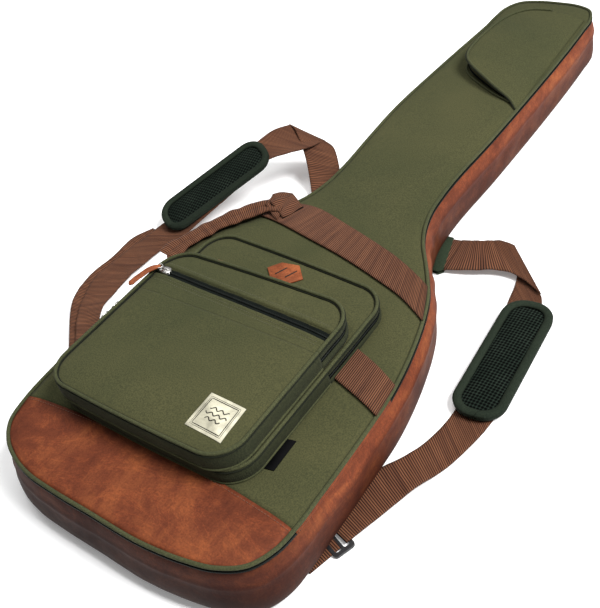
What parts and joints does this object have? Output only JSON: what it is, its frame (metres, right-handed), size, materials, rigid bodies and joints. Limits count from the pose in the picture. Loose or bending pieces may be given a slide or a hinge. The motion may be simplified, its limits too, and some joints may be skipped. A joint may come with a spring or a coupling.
{
  "type": "padded gig bag",
  "caption": "Padded electric guitar gig bag lying flat, with a hinged zip lid, front pockets, a headstock pocket, a side handle and two padded shoulder straps.",
  "frame": {"origin": "on the flat back, half way along the bag on its centre line", "axes": "+X to the bag's right, +Y towards the headstock end, +Z out of the front panel"},
  "size_m": [0.6072, 1.0503, 0.1214],
  "materials": {
    "leather": "waxed suede, mottled reddish brown, darker along the edges",
    "canvas": "dense olive canvas with a slight sheen",
    "strap_tab_canvas": "dark green canvas",
    "piping": "olive bound piping",
    "webbing": "ribbed brown polypropylene webbing",
    "shoulder_pad": "dark green spacer mesh with a bound edge",
    "lining": "short dark plush",
    "rubber": "matte black foam rubber",
    "hook_loop": "black hook and loop tape",
    "zip": "black zip tape and coil",
    "slider_metal": "polished nickel",
    "pull_leather": "tan leather",
    "label": "cream woven label with a plain double border",
    "black_tag": "plain black woven tag",
    "buckle_plastic": "black moulded adjuster"
  },
  "bodies": {
    "back_half": {"back_panel": "canvas", "side_wall": "leather", "back_lining": "lining", "end_bumper": "rubber", "neck_cradle": "lining", "neck_strap": "hook_loop", "main_zip_lower": "zip", "lid_hinge_strip": "leather", "right_strap_tab": "strap_tab_canvas", "right_strap_stub": "webbing", "right_strap_lower": "webbing", "left_strap_tab": "strap_tab_canvas", "left_strap_stub": "webbing", "left_strap_lower": "webbing"},
    "lid": {"main_zip_upper": "zip", "lid_piping": "piping", "front_panel": "canvas", "leather_toe": "leather", "lid_lining": "lining", "waist_band": "webbing", "side_webbing": "webbing", "blank_tag": "black_tag", "handle_tab_upper": "webbing", "handle_tab_lower": "webbing", "pocket_b_body": "canvas", "pocket_b_rear_wall": "canvas", "pocket_b_zip": "zip", "pocket_b_piping_lower": "piping", "pocket_a_body": "canvas", "pocket_a_piping_lower": "piping", "woven_label": "label", "headstock_pocket_zip": "zip"},
    "pocket_b_flap": {"pocket_b_flap": "canvas", "pocket_b_piping_upper": "piping", "lash_patch": "pull_leather", "pocket_a_rear_wall": "canvas", "pocket_a_zip": "zip"},
    "pocket_a_flap": {"pocket_a_flap": "canvas", "pocket_a_piping_upper": "piping", "slash_zip": "zip"},
    "slash_slider": {"slash_slider": "slider_metal"},
    "slash_pull": {"slash_pull": "pull_leather"},
    "pocket_a_slider": {"pocket_a_slider": "slider_metal"},
    "pocket_a_pull": {"pocket_a_pull": "pull_leather"},
    "pocket_b_slider": {"pocket_b_slider": "slider_metal"},
    "pocket_b_pull": {"pocket_b_pull": "pull_leather"},
    "main_upper_slider": {"main_upper_slider": "slider_metal"},
    "main_upper_pull": {"main_upper_pull": "pull_leather"},
    "main_lower_slider": {"main_lower_slider": "slider_metal"},
    "main_lower_pull": {"main_lower_pull": "pull_leather"},
    "headstock_cover": {"headstock_pocket_cover": "canvas"},
    "headstock_slider": {"headstock_slider": "slider_metal"},
    "headstock_pull": {"headstock_pull": "pull_leather"},
    "carry_handle": {"carry_handle": "webbing"},
    "right_strap": {"right_strap": "webbing"},
    "right_pad": {"right_shoulder_pad": "shoulder_pad"},
    "right_adjuster": {"right_strap_slider": "buckle_plastic"},
    "left_strap": {"left_strap": "webbing"},
    "left_pad": {"left_shoulder_pad": "shoulder_pad"},
    "left_adjuster": {"left_strap_slider": "buckle_plastic"}
  },
  "joints": [
    {"name": "lid_hinge", "type": "hinge", "parent": "back_half", "child": "lid", "pos_m": [0.193, -0.359, 0.06565], "axis": [0, 1, 0], "range_deg": [0, 110]},
    {"name": "pocket_b_flap_hinge", "type": "hinge", "parent": "lid", "child": "pocket_b_flap", "pos_m": [-0.004, -0.29, 0.1185], "axis": [1, 0, 0], "range_deg": [0, 60]},
    {"name": "pocket_a_flap_hinge", "type": "hinge", "parent": "pocket_b_flap", "child": "pocket_a_flap", "pos_m": [-0.007, -0.29, 0.1185], "axis": [1, 0, 0], "range_deg": [0, 75]},
    {"name": "slash_slider_slide", "type": "slide", "parent": "pocket_a_flap", "child": "slash_slider", "axis": [0.9992, -0.04, 0], "range_m": [0, 0.215]},
    {"name": "slash_pull_hinge", "type": "hinge", "parent": "slash_slider", "child": "slash_pull", "pos_m": [-0.124, -0.2575, 0.1204], "axis": [-0.8253, 0.5646, 0], "range_deg": [0, 150]},
    {"name": "pocket_a_slider_slide", "type": "slide", "parent": "pocket_b_flap", "child": "pocket_a_slider", "axis": [1, 0, 0], "range_m": [0, 0.15]},
    {"name": "pocket_a_pull_hinge", "type": "hinge", "parent": "pocket_a_slider", "child": "pocket_a_pull", "pos_m": [-0.086, -0.214, 0.1048], "axis": [1, 0, 0], "range_deg": [0, 100]},
    {"name": "pocket_b_slider_slide", "type": "slide", "parent": "lid", "child": "pocket_b_slider", "axis": [1, 0, 0], "range_m": [0, 0.15]},
    {"name": "pocket_b_pull_hinge", "type": "hinge", "parent": "pocket_b_slider", "child": "pocket_b_pull", "pos_m": [-0.086, -0.156, 0.0828], "axis": [1, 0, 0], "range_deg": [0, 100]},
    {"name": "main_upper_slider_slide", "type": "slide", "parent": "back_half", "child": "main_upper_slider", "axis": [0, 1, 0], "range_m": [0, 0.06]},
    {"name": "main_upper_pull_hinge", "type": "hinge", "parent": "main_upper_slider", "child": "main_upper_pull", "pos_m": [-0.1918, -0.294, 0.066], "axis": [0, 1, 0], "range_deg": [0, 120]},
    {"name": "main_lower_slider_slide", "type": "slide", "parent": "back_half", "child": "main_lower_slider", "axis": [0, -1, 0], "range_m": [0, 0.08]},
    {"name": "main_lower_pull_hinge", "type": "hinge", "parent": "main_lower_slider", "child": "main_lower_pull", "pos_m": [-0.1918, -0.312, 0.066], "axis": [0, 1, 0], "range_deg": [0, 120]},
    {"name": "headstock_cover_hinge", "type": "hinge", "parent": "lid", "child": "headstock_cover", "pos_m": [0.0755, 0.345, 0.0744], "axis": [0, 1, 0], "range_deg": [0, 100]},
    {"name": "headstock_slider_slide", "type": "slide", "parent": "lid", "child": "headstock_slider", "axis": [0, -1, 0], "range_m": [0, 0.06]},
    {"name": "headstock_pull_hinge", "type": "hinge", "parent": "headstock_slider", "child": "headstock_pull", "pos_m": [-0.0468, 0.4, 0.0742], "axis": [0, 1, 0], "range_deg": [0, 95]},
    {"name": "carry_handle_lift", "type": "hinge", "parent": "lid", "child": "carry_handle", "pos_m": [-0.143, -0.1295, 0.0835], "axis": [0.5482, 0.8363, 0], "range_deg": [0, 95]},
    {"name": "right_strap_lift", "type": "hinge", "parent": "back_half", "child": "right_strap", "pos_m": [0.205, -0.285, 0.0016], "axis": [0.3336, -0.9427, 0], "range_deg": [0, 50]},
    {"name": "right_pad_slide", "type": "slide", "parent": "right_strap", "child": "right_pad", "axis": [-0.09, 0.9959, 0], "range_m": [-0.03, 0.015]},
    {"name": "right_adjuster_slide", "type": "slide", "parent": "back_half", "child": "right_adjuster", "axis": [0.3401, 0.9404, 0], "range_m": [0, 0.035]},
    {"name": "left_strap_lift", "type": "hinge", "parent": "back_half", "child": "left_strap", "pos_m": [-0.287, -0.235, 0.0016], "axis": [0.599, 0.8008, 0], "range_deg": [0, 50]},
    {"name": "left_pad_slide", "type": "slide", "parent": "left_strap", "child": "left_pad", "axis": [0.4031, 0.8644, 0.3007], "range_m": [-0.012, 0.02]},
    {"name": "left_adjuster_slide", "type": "slide", "parent": "back_half", "child": "left_adjuster", "axis": [-0.6816, 0.7317, 0], "range_m": [0, 0.035]}
  ]
}
